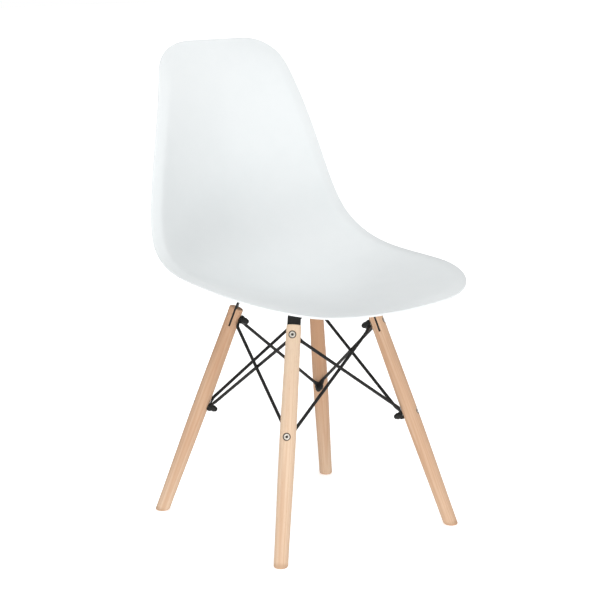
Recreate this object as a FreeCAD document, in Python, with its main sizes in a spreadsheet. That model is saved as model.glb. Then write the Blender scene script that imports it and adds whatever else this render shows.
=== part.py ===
import FreeCAD, Part
import math
import os

import Sketcher

# Dining chair: moulded bucket shell on four turned dowel legs with crossed wire bracing.
# Millimetres. +Z up, front of the seat toward -Y, origin on the floor under the middle of the chair.

V = FreeCAD.Vector
AXIS_X, AXIS_Y, AXIS_Z = V(1, 0, 0), V(0, 1, 0), V(0, 0, 1)
ORIGIN = V(0, 0, 0)

# Driving dimensions, one spreadsheet cell each.
DIMENSIONS = {
    # shell
    "shell_thickness": 4.0,
    "front_corner_across": 117.0,
    "front_corner_along": 158.0,
    "front_corner_power": 2.1,
    "top_corner_across": 65.0,
    "top_corner_along": 56.0,
    "top_corner_power": 2.35,
    "side_lift_power": 1.735,
    "lip_width": 20.8,
    "lip_slope": 0.033,
    "lip_bend_radius": 6.0,
    # bosses and fixings under the seat
    "boss_reach": 80.0,
    "boss_radius": 11.0,
    "boss_bottom": 392.0,
    "boss_root": 2.5,
    "insert_radius": 4.5,
    "insert_length": 6.0,
    "insert_gap": 0.3,
    "pad_radius": 12.0,
    "pad_thickness": 3.0,
    "screw_radius": 3.0,
    "screw_clearance": 0.3,
    "screw_length": 13.0,
    "screw_head_radius": 5.5,
    "screw_head_height": 4.0,
    "washer_radius": 8.0,
    "washer_thickness": 1.2,
    # frame straps
    "base_centre_y": -19.8,
    "strap_width": 22.4,
    "strap_thickness": 3.0,
    "strap_top": 389.0,
    "strap_bend_radius": 5.0,
    "blade_depth": 31.0,
    "joggle_inner": 15.0,
    "joggle_outer": 24.0,
    # legs
    "leg_length": 397.2,
    "leg_lean": 20.23,
    "leg_foot_reach": 256.8,
    "leg_top_radius": 12.3,
    "leg_belly_radius": 13.6,
    "leg_foot_radius": 11.9,
    "leg_top_round": 2.0,
    "leg_foot_round": 3.5,
    "leg_foot_spare": 6.0,
    "slot_width": 3.4,
    "slot_depth": 33.0,
    "upper_joint_depth": 17.0,
    "lower_joint_depth": 186.0,
    # leg bolts and dome nuts
    "bolt_radius": 3.0,
    "bolt_clearance": 0.3,
    "bolt_head_radius": 5.2,
    "bolt_head_height": 4.0,
    "bolt_head_sink": 0.5,
    "bolt_past_leg": 13.0,
    "socket_width": 4.0,
    "socket_depth": 2.5,
    "counterbore_radius": 6.4,
    "nut_flange_radius": 6.6,
    "nut_flange_thickness": 1.4,
    "nut_width": 10.0,
    "nut_hex_height": 5.6,
    "nut_dome_radius": 4.7,
    "nut_bore_depth": 9.2,
    # wire struts
    "wire_radius": 2.8,
    "eyelet_radius": 7.5,
    "eyelet_thickness": 2.4,
    "eyelet_neck": 3.8,
    "neck_start": 6.4,
    "neck_relief": 0.25,
    "eyelet_gap": 0.3,
    "knuckle_radius": 2.95,
    "knuckle_reach": 18.0,
    "outer_offset": -0.2,
    "inner_offset": -5.8,
}

# Control values of the shell's smooth curves, from the front edge of the seat to the top of the back.
SHELL_CURVES = {
    "centre_y": (-250.1, -100.7, 4.9, 40.8, 118.6, 229.2, 253.1, 185.0, 245.7),
    "centre_z": (410.0, 424.4, 401.4, 381.4, 385.8, 422.0, 501.3, 632.7, 819.5),
    "half_width": (231.8, 247.6, 236.2, 219.2, 209.8, 160.3, 120.4),
    "side_lift": (31.5, 29.4, 64.8, 115.9, 70.3, 51.4, -4.2),
}

# Legs by name, with the plan angle of each in degrees.
LEGS = {
    "leg_rear_left": 45.0,
    "leg_rear_right": 135.0,
    "leg_front_right": 225.0,
    "leg_front_left": 315.0,
}
# Each side of the base, with the leg its outer strut hangs from.
SIDES = {
    "rear": "leg_rear_left",
    "right": "leg_rear_right",
    "front": "leg_front_right",
    "left": "leg_front_left",
}
QUARTER_TURN = 90.0

# How finely the shell's curves are sampled.
PROFILE_STEPS = 400
CORNER_STEPS = 16
EDGE_STEPS = 12
SIDE_STEPS = 40
ACROSS_STEPS = 12
ALONG_STEPS = 44
ACROSS_GRADING = 1.3
NORMAL_STEP = 0.5
HALVINGS = 40
# How finely a leg's turned outline and a nut's dome are sampled.
LEG_STEPS = 14
DOME_STEPS = 6
# A length that clears a leg on every side, for cuts right through it, and the tolerance for "at".
CUT_WIDTH = "40"
TOUCH = 0.01

doc = FreeCAD.newDocument("DiningChair")


# ---------------------------------------------------------------- spreadsheet

def make_sheet():
    """The spreadsheet with one aliased cell per driving dimension."""
    sheet = doc.addObject("Spreadsheet::Sheet", "dims")
    values = dict(DIMENSIONS)
    for curve, numbers in SHELL_CURVES.items():
        for place, number in enumerate(numbers):
            values[f"{curve}_{place}"] = number
    for row, (alias, number) in enumerate(values.items(), start=1):
        sheet.set(f"A{row}", alias)
        sheet.set(f"B{row}", str(number))
        sheet.setAlias(f"B{row}", alias)
    doc.recompute()
    return sheet


sheet = make_sheet()


def dim(alias):
    """The value of one cell."""
    return float(getattr(sheet, alias))


def curve_values(name):
    return [dim(f"{name}_{place}") for place in range(len(SHELL_CURVES[name]))]


def value(expression):
    """The number an expression over the sheet's cells comes to."""
    found = sheet.evalExpression(expression)
    return float(getattr(found, "Value", found))


def bound(expression):
    """The same expression as another object has to write it, with every alias led by the sheet's name."""
    words = []
    word = ""
    for letter in expression + " ":
        if letter.isalnum() or letter == "_":
            word += letter
            continue
        words.append(f"dims.{word}" if word in DIMENSIONS else word)
        words.append(letter)
        word = ""
    return "".join(words).strip()


# ---------------------------------------------------------------- sketch and body helpers

def make_body(name):
    body = doc.addObject("PartDesign::Body", name)
    body.Label = name
    return body


def origin_plane(body, role):
    return next(item for item in body.Origin.OriginFeatures if item.Role == role)


def make_sketch(body, name, role, height="0"):
    """An empty sketch on one of the body's own planes, raised off it by an expression."""
    sketch = body.newObject("Sketcher::SketchObject", name)
    sketch.AttachmentSupport = [(origin_plane(body, role), "")]
    sketch.MapMode = "FlatFace"
    if height != "0":
        sketch.AttachmentOffset = FreeCAD.Placement(V(0, 0, value(height)), FreeCAD.Rotation())
        sketch.setExpression("AttachmentOffset.Base.z", bound(height))
    return sketch


def pin(sketch, kind, geometry, point, expression):
    """Holds one coordinate of a sketch point, measured from the sketch's origin, to an expression."""
    index = sketch.addConstraint(
        Sketcher.Constraint(kind, -1, 1, geometry, point, value(expression))
    )
    sketch.setExpression(f"Constraints[{index}]", bound(expression))


def polygon_sketch(body, name, role, points, height="0"):
    """A closed polygon whose corners are pairs of expressions."""
    sketch = make_sketch(body, name, role, height)
    corners = [V(value(across), value(up), 0) for across, up in points]
    count = len(corners)
    for place in range(count):
        sketch.addGeometry(Part.LineSegment(corners[place], corners[(place + 1) % count]))
    for place in range(count):
        sketch.addConstraint(
            Sketcher.Constraint("Coincident", place, 2, (place + 1) % count, 1)
        )
    for place, (across, up) in enumerate(points):
        pin(sketch, "DistanceX", place, 1, across)
        pin(sketch, "DistanceY", place, 1, up)
    return sketch


def circle_sketch(body, name, role, radius, across="0", up="0", height="0"):
    """A circle with its centre and radius given as expressions."""
    sketch = make_sketch(body, name, role, height)
    centre = V(value(across), value(up), 0)
    sketch.addGeometry(Part.Circle(centre, AXIS_Z, value(radius)))
    pin(sketch, "DistanceX", 0, 3, across)
    pin(sketch, "DistanceY", 0, 3, up)
    index = sketch.addConstraint(Sketcher.Constraint("Radius", 0, value(radius)))
    sketch.setExpression(f"Constraints[{index}]", bound(radius))
    return sketch


def hexagon_sketch(body, name, width, height="0"):
    """A regular hexagon on the XY plane, given across its flats."""
    half = f"{width} / 2"
    reach = f"{width} / sqrt(3)"
    points = [
        (reach, "0"), (f"{reach} / 2", half), (f"-{reach} / 2", half),
        (f"-{reach}", "0"), (f"-{reach} / 2", f"-{half}"), (f"{reach} / 2", f"-{half}"),
    ]
    return polygon_sketch(body, name, "XY_Plane", points, height)


def revolve(body, name, sketch):
    feature = body.newObject("PartDesign::Revolution", name)
    feature.Profile = sketch
    feature.ReferenceAxis = (sketch, ["V_Axis"])
    feature.Angle = 360.0
    return feature


def pad(body, name, sketch, length, midplane=False):
    feature = body.newObject("PartDesign::Pad", name)
    feature.Profile = sketch
    feature.setExpression("Length", bound(length))
    feature.Midplane = midplane
    return feature


def pocket(body, name, sketch, length=None, reverse=False, midplane=False):
    """A pocket of a stated depth, or right through when none is given; stops if it removes nothing."""
    doc.recompute()
    before = body.Shape.Volume
    feature = body.newObject("PartDesign::Pocket", name)
    feature.Profile = sketch
    if length is None:
        feature.Type = "ThroughAll"
    else:
        feature.setExpression("Length", bound(length))
    feature.Midplane = midplane
    feature.Reversed = reverse
    doc.recompute()
    if not body.Shape.Volume < before:
        raise RuntimeError(f"{body.Label} {name} removed nothing")
    return feature


def fillet_edges(body, name, radius, wanted):
    """Rounds the edges of the body's present shape that the test picks out."""
    doc.recompute()
    tip = body.Tip
    names = [
        f"Edge{place}"
        for place, edge in enumerate(tip.Shape.Edges, start=1)
        if wanted(edge)
    ]
    feature = body.newObject("PartDesign::Fillet", name)
    feature.Base = (tip, names)
    feature.setExpression("Radius", bound(radius))
    doc.recompute()
    return feature


def fixed_shape(name, shape, placement=None):
    """A plain shape as a document object; its placement is set after its shape."""
    item = doc.addObject("Part::Feature", name)
    item.Label = name
    item.Shape = shape
    if placement is not None:
        item.Placement = placement
    return item


# ---------------------------------------------------------------- where the base's joints are

def lean():
    """Angle of a leg from upright, in radians."""
    return math.radians(dim("leg_lean"))


def base_centre():
    return V(0, dim("base_centre_y"), 0)


def leg_directions(plan_angle):
    """Unit vectors of one leg: out from the base, down its own axis, and outward across it."""
    turn = math.radians(plan_angle)
    out = V(math.cos(turn), math.sin(turn), 0)
    down = out * math.sin(lean()) - AXIS_Z * math.cos(lean())
    across = out * math.cos(lean()) + AXIS_Z * math.sin(lean())
    return out, down, across


def joint_centre(plan_angle, depth):
    """Point on a leg's axis a given way down from its top, and the outward bolt direction there."""
    out, down, across = leg_directions(plan_angle)
    foot = base_centre() + out * dim("leg_foot_reach")
    return foot - down * value(f"leg_length - {depth}"), across


def leg_radius(height_share):
    """Expression for a leg's radius at a share of its length: it swells smoothly to the lower joint."""
    belly = 1 - dim("lower_joint_depth") / dim("leg_length")
    low = height_share < belly
    share = height_share / belly if low else (1 - height_share) / (1 - belly)
    blend = share * share * (3 - 2 * share)
    end = "leg_foot_radius" if low else "leg_top_radius"
    return f"({end} * {1 - blend} + leg_belly_radius * {blend})"


def joint_radius(depth):
    """Expression for a leg's radius at one of its joints."""
    return leg_radius(1 - dim(depth) / dim("leg_length"))


def pointing(position, direction):
    """A placement that carries the origin to a position and +Z to a direction."""
    return FreeCAD.Placement(position, FreeCAD.Rotation(AXIS_Z, direction))


def quarter_turned(turns):
    """A turn of the whole base about its own upright centre line."""
    rotation = FreeCAD.Rotation(AXIS_Z, QUARTER_TURN * turns)
    centre = base_centre()
    return FreeCAD.Placement(centre - rotation.multVec(centre), rotation)


# ---------------------------------------------------------------- the moulded shell

def smooth(values, share):
    """Bernstein polynomial through a list of control values, at a share from 0 to 1."""
    degree = len(values) - 1
    return sum(
        math.comb(degree, place) * number * share**place * (1 - share) ** (degree - place)
        for place, number in enumerate(values)
    )


def smooth_rate(values, share):
    """Rate of change of the same polynomial."""
    steps = [after - before for before, after in zip(values, values[1:])]
    return (len(values) - 1) * smooth(steps, share)


def between(table, outputs, wanted):
    """Straight-line look-up in a rising table."""
    low, high = 0, len(table) - 1
    if wanted <= table[low]:
        return outputs[low]
    if wanted >= table[high]:
        return outputs[high]
    while high - low > 1:
        middle = (low + high) // 2
        if table[middle] <= wanted:
            low = middle
        else:
            high = middle
    share = (wanted - table[low]) / (table[high] - table[low])
    return outputs[low] + share * (outputs[high] - outputs[low])


class ShellForm:
    """The seat's upper face as a height over a flat pattern: across from the centre, and along it."""

    def __init__(self):
        self.centre_y = curve_values("centre_y")
        self.centre_z = curve_values("centre_z")
        self.half_width = curve_values("half_width")
        self.side_lift = curve_values("side_lift")
        self.shares = [step / PROFILE_STEPS for step in range(PROFILE_STEPS + 1)]
        points = [(smooth(self.centre_y, u), smooth(self.centre_z, u)) for u in self.shares]
        self.lengths = [0.0]
        for before, after in zip(points, points[1:]):
            self.lengths.append(self.lengths[-1] + math.dist(before, after))
        self.length = self.lengths[-1]
        self.front, self.side, self.top = self.edges()
        self.outline = self.front + self.side[1:] + self.top[::-1][1:]

    def width_at(self, along):
        return smooth(self.half_width, along / self.length)

    def corner(self, across, depth, power, from_front):
        """Quarter of a superellipse from the straight side round to the end edge."""
        points = []
        for step in range(2 * CORNER_STEPS + 1):
            turn = math.pi / 2 * step / (2 * CORNER_STEPS)
            inset = across * (max(math.cos(turn), 0.0) ** (2 / power) - 1)
            reach = depth * math.sin(turn) ** (2 / power)
            along = depth - reach if from_front else self.length - depth + reach
            points.append((self.width_at(along) + inset, along))
        return points

    def edges(self):
        """The pattern's right half as three runs: front edge, side edge and top edge."""
        front = self.corner(
            dim("front_corner_across"), dim("front_corner_along"), dim("front_corner_power"), True
        )
        top = self.corner(
            dim("top_corner_across"), dim("top_corner_along"), dim("top_corner_power"), False
        )
        runs = []
        for corner in (front, top):
            end_across, end_along = corner[-1]
            straight = [(end_across * step / EDGE_STEPS, end_along) for step in range(EDGE_STEPS)]
            runs.append(straight + corner[CORNER_STEPS:][::-1])
        first, last = dim("front_corner_along"), self.length - dim("top_corner_along")
        side = []
        for step in range(1, SIDE_STEPS):
            along = first + (last - first) * step / SIDE_STEPS
            side.append((self.width_at(along), along))
        side = front[: CORNER_STEPS + 1][::-1] + side + top[: CORNER_STEPS + 1]
        return runs[0], side, runs[1]

    def edge_distance(self, across, along):
        """Distance in the pattern from a point to the outline."""
        nearest = float("inf")
        for (x0, y0), (x1, y1) in zip(self.outline, self.outline[1:]):
            run_x, run_y = x1 - x0, y1 - y0
            square = run_x * run_x + run_y * run_y
            share = ((across - x0) * run_x + (along - y0) * run_y) / square if square else 0.0
            share = min(max(share, 0.0), 1.0)
            nearest = min(
                nearest, math.hypot(across - x0 - share * run_x, along - y0 - share * run_y)
            )
        return nearest

    def upper(self, across, along):
        """Point of the upper face: the centre profile, lifted toward the sides, less the rolled lip."""
        share = between(self.lengths, self.shares, along)
        run_y, run_z = smooth_rate(self.centre_y, share), smooth_rate(self.centre_z, share)
        size = math.hypot(run_y, run_z)
        width = self.width_at(along)
        lift = smooth(self.side_lift, along / self.length)
        power = dim("side_lift_power")
        ratio = abs(across) / width
        inside = dim("lip_width") - self.edge_distance(abs(across), along)
        roll = (math.hypot(inside, dim("lip_bend_radius")) + inside) / 2
        slope = lift * power / width * ratio ** (power - 1)
        height = lift * ratio**power - (slope + dim("lip_slope")) * roll
        return V(
            across,
            smooth(self.centre_y, share) - run_z / size * height,
            smooth(self.centre_z, share) + run_y / size * height,
        )

    def normal(self, across, along):
        """Unit normal of the upper face, toward the sitter, taken just inside the outline."""
        middle = self.length / 2
        away = math.hypot(across, along - middle)
        pull = 1 - 2 * NORMAL_STEP / away if away > 4 * NORMAL_STEP else 1.0
        across, along = across * pull, middle + (along - middle) * pull
        step_across = self.upper(across + NORMAL_STEP, along) - self.upper(across - NORMAL_STEP, along)
        step_along = self.upper(across, along + NORMAL_STEP) - self.upper(across, along - NORMAL_STEP)
        return step_across.cross(step_along).normalize()

    def lower(self, across, along):
        """Point of the under face, one thickness below the upper one."""
        return self.upper(across, along) - self.normal(across, along) * dim("shell_thickness")

    def pattern_grid(self):
        """Rows of pattern points that fill the outline from side to side and from front to top."""
        right = [1 - (1 - step / ACROSS_STEPS) ** ACROSS_GRADING for step in range(ACROSS_STEPS + 1)]
        along_shares = [step / ALONG_STEPS for step in range(ALONG_STEPS + 1)]
        front = spaced(self.front, right)
        top = spaced(self.top, right)
        side = spaced(self.side, along_shares)
        rows = []
        for v, (side_across, side_along) in zip(along_shares, side):
            row = []
            for u, (front_across, front_along), (top_across, top_along) in zip(right, front, top):
                across = (
                    (1 - v) * front_across + v * top_across + u * side_across
                    - (1 - v) * u * front[-1][0] - v * u * top[-1][0]
                )
                along = (
                    (1 - v) * front_along + v * top_along
                    + (1 - u) * v * self.length + u * side_along
                    - (1 - v) * u * front[-1][1] - v * (1 - u) * self.length - v * u * top[-1][1]
                )
                row.append((across, along))
            rows.append([(-across, along) for across, along in row[:0:-1]] + row)
        return rows


def spaced(points, shares):
    """Points of a polyline at shares of its length."""
    lengths = [0.0]
    for before, after in zip(points, points[1:]):
        lengths.append(lengths[-1] + math.dist(before, after))
    return [
        (
            between(lengths, [point[0] for point in points], share * lengths[-1]),
            between(lengths, [point[1] for point in points], share * lengths[-1]),
        )
        for share in shares
    ]


def make_shell_sheet(form):
    """The bare shell: smooth upper and under faces, joined round the rim by four narrow faces."""
    rows = form.pattern_grid()
    faces = []
    surfaces = []
    for side in (form.upper, form.lower):
        surface = Part.BSplineSurface()
        surface.interpolate([[side(across, along) for across, along in row] for row in rows])
        surfaces.append(surface)
        faces.append(surface.toShape())
    first_u, last_u, first_v, last_v = surfaces[0].bounds()
    for end in (first_u, last_u):
        faces.append(Part.makeRuledSurface(*[surface.uIso(end).toShape() for surface in surfaces]))
    for end in (first_v, last_v):
        faces.append(Part.makeRuledSurface(*[surface.vIso(end).toShape() for surface in surfaces]))
    skin = Part.makeShell(faces)
    skin.sewShape()
    solid = Part.makeSolid(skin.Shells[0] if skin.ShapeType == "Compound" else skin)
    if solid.Volume < 0:
        solid.reverse()
    return fixed_shape("shell_sheet", solid)


def boss_places():
    """Plan positions of the four bosses, on the diagonals of the base."""
    return [
        base_centre() + leg_directions(angle)[0] * dim("boss_reach") for angle in LEGS.values()
    ]


def along_under(form, place):
    """How far along the pattern a plan position over the seat lies."""
    low, high = 0.0, form.length / 2
    for _ in range(HALVINGS):
        middle = (low + high) / 2
        if form.upper(place.x, middle).y < place.y:
            low = middle
        else:
            high = middle
    return low


def make_seat_shell(form):
    """The shell with its four bosses and their blind holes for the threaded inserts."""
    bosses, holes = [make_shell_sheet(form)], []
    for number, place in enumerate(boss_places(), start=1):
        seat_height = form.upper(place.x, along_under(form, place)).z
        boss = doc.addObject("Part::Cylinder", f"boss_{number}")
        boss.setExpression("Radius", bound("boss_radius"))
        boss.setExpression("Height", bound(f"{seat_height} - boss_root - boss_bottom"))
        boss.Placement.Base = V(place.x, place.y, dim("boss_bottom"))
        bosses.append(boss)
        hole = doc.addObject("Part::Cylinder", f"insert_hole_{number}")
        hole.setExpression("Radius", bound("insert_radius + insert_gap"))
        hole.setExpression("Height", bound("2 * (insert_length + insert_gap)"))
        hole.Placement.Base = V(place.x, place.y, value("boss_bottom - insert_length - insert_gap"))
        holes.append(hole)
    solid = doc.addObject("Part::MultiFuse", "shell_with_bosses")
    solid.Shapes = bosses
    drilled = doc.addObject("Part::MultiFuse", "insert_holes")
    drilled.Shapes = holes
    shell = doc.addObject("Part::Cut", "seat_shell")
    shell.Label = "seat_shell"
    shell.Base, shell.Tool = solid, drilled
    return shell


# ---------------------------------------------------------------- fixings under the seat

def make_ring(name, outer, inner, height):
    """A flat ring as one cylinder less another, both bound to the sheet."""
    parts = []
    for part, radius, length in (("disc", outer, height), ("hole", inner, f"3 * ({height})")):
        cylinder = doc.addObject("Part::Cylinder", f"{name}_{part}")
        cylinder.setExpression("Radius", bound(radius))
        cylinder.setExpression("Height", bound(length))
        parts.append(cylinder)
    parts[1].Placement.Base = V(0, 0, -value(height))
    ring = doc.addObject("Part::Cut", f"{name}_ring")
    ring.Base, ring.Tool = parts
    doc.recompute()
    return ring


def copies(name, master, placements):
    """One node with a separate solid at every placement."""
    solids = []
    for placement in placements:
        solid = master.Shape.copy()
        solid.Placement = placement.multiply(solid.Placement)
        solids.append(solid)
    return fixed_shape(name, Part.makeCompound(solids))


def at_bosses(height):
    """Placements at the four bosses with their origin at a height."""
    return [
        FreeCAD.Placement(V(place.x, place.y, value(height)), FreeCAD.Rotation())
        for place in boss_places()
    ]


def make_bolt(name, shank, length, head, head_height, socket, socket_depth):
    """A socket-head bolt: head top at the origin, shank toward -Z."""
    body = make_body(name)
    points = [
        ("0", "0"), (head, "0"), (head, f"-({head_height})"), (shank, f"-({head_height})"),
        (shank, f"-({length})"), ("0", f"-({length})"),
    ]
    revolve(body, f"{name}_turned", polygon_sketch(body, f"{name}_profile", "XZ_Plane", points))
    recess = hexagon_sketch(body, f"{name}_socket_outline", socket)
    pocket(body, f"{name}_socket", recess, socket_depth)
    return body


def make_seat_fixings():
    """Inserts in the bosses, pads under them, and the washers and screws that hold the frame."""
    insert = make_ring(
        "insert", "insert_radius", "screw_radius + screw_clearance", "insert_length"
    )
    pad_ring = make_ring("pad", "pad_radius", "screw_radius + screw_clearance", "pad_thickness")
    washer = make_ring(
        "washer", "washer_radius", "screw_radius + screw_clearance", "washer_thickness"
    )
    screw = make_bolt(
        "screw", "screw_radius", "screw_head_height + screw_length",
        "screw_head_radius", "screw_head_height", "socket_width", "socket_depth",
    )
    under_strap = "strap_top - strap_thickness - washer_thickness"
    screws_up = [
        place.multiply(FreeCAD.Placement(ORIGIN, FreeCAD.Rotation(AXIS_X, 180.0)))
        for place in at_bosses(f"{under_strap} - screw_head_height")
    ]
    return [
        copies("shell_insert_nuts", insert, at_bosses("boss_bottom + insert_gap")),
        copies("mount_pads", pad_ring, at_bosses("strap_top")),
        copies("frame_washers", washer, at_bosses(under_strap)),
        copies("frame_screws", screw, screws_up),
    ]


# ---------------------------------------------------------------- frame straps

def strap_outline(joggled):
    """Corners of a strap seen from the side: flat under the seat, with an end bent down each leg."""
    middle = "(strap_top - strap_thickness / 2)"
    bend = f"(leg_foot_reach - {middle} * tan(leg_lean))"
    corner = "strap_thickness / 2 * (1 - sin(leg_lean)) / cos(leg_lean)"
    end_across = "leg_foot_reach - (leg_length - blade_depth) * sin(leg_lean)"
    end_height = "(leg_length - blade_depth) * cos(leg_lean)"
    side_across, side_height = "strap_thickness / 2 * cos(leg_lean)", "strap_thickness / 2 * sin(leg_lean)"
    bottom = "strap_top - strap_thickness"
    dip_top, dip_bottom = bottom, "strap_top - 2 * strap_thickness"
    right = [
        (f"{bend} + {corner}", "strap_top"),
        (f"{end_across} + {side_across}", f"{end_height} + {side_height}"),
        (f"{end_across} - {side_across}", f"{end_height} - {side_height}"),
        (f"{bend} - {corner}", bottom),
    ]
    if joggled:
        right = [("joggle_inner", dip_top), ("joggle_outer", "strap_top")] + right
        right += [("joggle_outer", bottom), ("joggle_inner", dip_bottom)]
    left = [(f"-({across})", height) for across, height in right[::-1]]
    return right + left


def make_strap(name, plan_angle, joggled):
    """One strap: a bent flat bar with screw holes under the seat and a bolt hole in each blade."""
    body = make_body(f"{name}_bar")
    sketch = polygon_sketch(body, f"{name}_outline", "XZ_Plane", strap_outline(joggled))
    pad(body, f"{name}_flat", sketch, "strap_width", midplane=True)
    bend = strap_bend_test()
    fillet_edges(body, f"{name}_inner_bends", "strap_bend_radius", lambda edge: bend(edge, -1))
    fillet_edges(
        body, f"{name}_outer_bends", "strap_bend_radius + strap_thickness", lambda edge: bend(edge, 1)
    )
    body.Placement = FreeCAD.Placement(base_centre(), FreeCAD.Rotation(AXIS_Z, plan_angle))
    tools = []
    for turn in (0.0, 2 * QUARTER_TURN):
        out = leg_directions(plan_angle + turn)[0]
        joint, across = joint_centre(plan_angle + turn, "upper_joint_depth")
        screw_place = base_centre() + out * dim("boss_reach") + AXIS_Z * value("strap_top")
        for place, direction, radius in (
            (joint, across, "bolt_radius + bolt_clearance"),
            (screw_place, AXIS_Z, "screw_radius + screw_clearance"),
        ):
            drill = doc.addObject("Part::Cylinder", f"{name}_drill")
            drill.setExpression("Radius", bound(radius))
            drill.setExpression("Height", bound("6 * strap_thickness"))
            drill.Placement = pointing(place - direction * value("3 * strap_thickness"), direction)
            tools.append(drill)
    drills = doc.addObject("Part::MultiFuse", f"{name}_drills")
    drills.Shapes = tools
    strap = doc.addObject("Part::Cut", name)
    strap.Label = name
    strap.Base, strap.Tool = body, drills
    return strap


def strap_bend_test():
    """A test that finds a strap's bend edges on its under side (-1) or its top side (1)."""
    middle_height = value("strap_top - strap_thickness / 2")

    def test(edge, side):
        start, end = edge.firstVertex().Point, edge.lastVertex().Point
        level = abs(start.z - end.z) < TOUCH and abs(start.x - end.x) < TOUCH
        far_out = abs(start.x) > dim("boss_reach") + dim("pad_radius")
        at_face = abs(start.z - middle_height - side * dim("strap_thickness") / 2) < TOUCH
        return level and far_out and at_face

    return test


# ---------------------------------------------------------------- legs

def make_leg(name, plan_angle):
    """A turned leg, built upright from its foot with +X outward, then leaned and turned into place."""
    body = make_body(name)
    outline = [("0", "-leg_foot_spare"), ("leg_foot_radius", "-leg_foot_spare")]
    for step in range(LEG_STEPS + 1):
        share = step / LEG_STEPS
        outline.append((leg_radius(share), f"leg_length * {share}"))
    outline.append(("0", "leg_length"))
    revolve(body, f"{name}_turned", polygon_sketch(body, f"{name}_profile", "XZ_Plane", outline))
    length = dim("leg_length")
    fillet_edges(
        body, f"{name}_top_round", "leg_top_round",
        lambda edge: abs(edge.BoundBox.ZMin - length) < TOUCH and abs(edge.BoundBox.ZMax - length) < TOUCH,
    )
    cut_foot(body, name)
    slot = [
        ("-slot_width / 2", "leg_length - slot_depth"), ("slot_width / 2", "leg_length - slot_depth"),
        ("slot_width / 2", "leg_length + slot_width"), ("-slot_width / 2", "leg_length + slot_width"),
    ]
    slot_sketch = polygon_sketch(body, f"{name}_slot_outline", "XZ_Plane", slot)
    pocket(body, f"{name}_slot", slot_sketch, CUT_WIDTH, midplane=True)
    for joint in ("upper_joint_depth", "lower_joint_depth"):
        drill_leg(body, name, joint)
    tip = FreeCAD.Rotation(AXIS_Y, -dim("leg_lean"))
    turn = FreeCAD.Rotation(AXIS_Z, plan_angle)
    foot = base_centre() + leg_directions(plan_angle)[0] * dim("leg_foot_reach")
    body.Placement = FreeCAD.Placement(foot, turn.multiply(tip))
    return body


def cut_foot(body, name):
    """Cuts the foot parallel to the floor and rounds its edge."""
    fall = f"{CUT_WIDTH} * tan(leg_lean)"
    below = [
        (f"-{CUT_WIDTH}", fall), (f"-{CUT_WIDTH}", f"-{CUT_WIDTH}"),
        (CUT_WIDTH, f"-{CUT_WIDTH}"), (CUT_WIDTH, f"-{fall}"),
    ]
    sketch = polygon_sketch(body, f"{name}_foot_line", "XZ_Plane", below)
    pocket(body, f"{name}_foot_cut", sketch, f"2 * {CUT_WIDTH}", midplane=True)

    def on_floor(edge):
        points = edge.discretize(Number=9)
        return all(abs(point.z + point.x * math.tan(lean())) < TOUCH for point in points)

    fillet_edges(body, f"{name}_foot_round", "leg_foot_round", on_floor)


def drill_leg(body, name, joint):
    """One cross hole through a leg, with a counterbore for the bolt head on the outer face."""
    level = f"leg_length - {joint}"
    hole = circle_sketch(
        body, f"{name}_{joint}_hole_line", "YZ_Plane", "bolt_radius + bolt_clearance", "0", level
    )
    pocket(body, f"{name}_{joint}_hole", hole, CUT_WIDTH, midplane=True)
    floor = f"{joint_radius(joint)} - bolt_head_sink - bolt_head_height"
    bore = circle_sketch(
        body, f"{name}_{joint}_bore_line", "YZ_Plane", "counterbore_radius", "0", level, floor
    )
    pocket(body, f"{name}_{joint}_bore", bore, CUT_WIDTH, reverse=True)


# ---------------------------------------------------------------- bolts and nuts through the legs

def make_dome_nut():
    """A flanged dome nut: flange face at the origin, dome toward +Z, blind bore from below."""
    body = make_body("dome_nut")
    flange = circle_sketch(body, "flange_outline", "XY_Plane", "nut_flange_radius")
    pad(body, "flange", flange, "nut_flange_thickness")
    hexagon = hexagon_sketch(body, "nut_outline", "nut_width")
    pad(body, "nut_block", hexagon, "nut_flange_thickness + nut_hex_height")
    base = "nut_flange_thickness + nut_hex_height"
    dome = [("0", base)]
    for step in range(DOME_STEPS):
        turn = QUARTER_TURN * step / DOME_STEPS
        dome.append((
            f"nut_dome_radius * {math.cos(math.radians(turn))}",
            f"{base} + nut_dome_radius * {math.sin(math.radians(turn))}",
        ))
    dome.append(("0", f"{base} + nut_dome_radius"))
    revolve(body, "dome", polygon_sketch(body, "dome_profile", "XZ_Plane", dome))
    bore = circle_sketch(body, "bore_outline", "XY_Plane", "bolt_radius + bolt_clearance")
    pocket(body, "bore", bore, "nut_bore_depth", reverse=True)
    return body


def make_leg_fixings():
    """The bright bolts and the black dome nuts of the upper and lower joints, four to a node."""
    nodes = []
    nut = make_dome_nut()
    for level, joint in (("upper", "upper_joint_depth"), ("lower", "lower_joint_depth")):
        radius = value(joint_radius(joint))
        bolt = make_bolt(
            f"bolt_{level}", "bolt_radius", f"2 * {joint_radius(joint)} - bolt_head_sink + bolt_past_leg",
            "bolt_head_radius", "bolt_head_height", "socket_width", "socket_depth",
        )
        doc.recompute()
        bolts, nuts = [], []
        for angle in LEGS.values():
            centre, across = joint_centre(angle, joint)
            bolts.append(pointing(centre + across * (radius - dim("bolt_head_sink")), across))
            face = radius + dim("eyelet_gap") + 2 * dim("eyelet_thickness")
            nuts.append(pointing(centre - across * face, across * -1))
        nodes.append(copies(f"leg_bolts_{level}", bolt, bolts))
        nodes.append(copies(f"dome_nuts_{level}", nut, nuts))
    return nodes


# ---------------------------------------------------------------- wire struts

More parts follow.
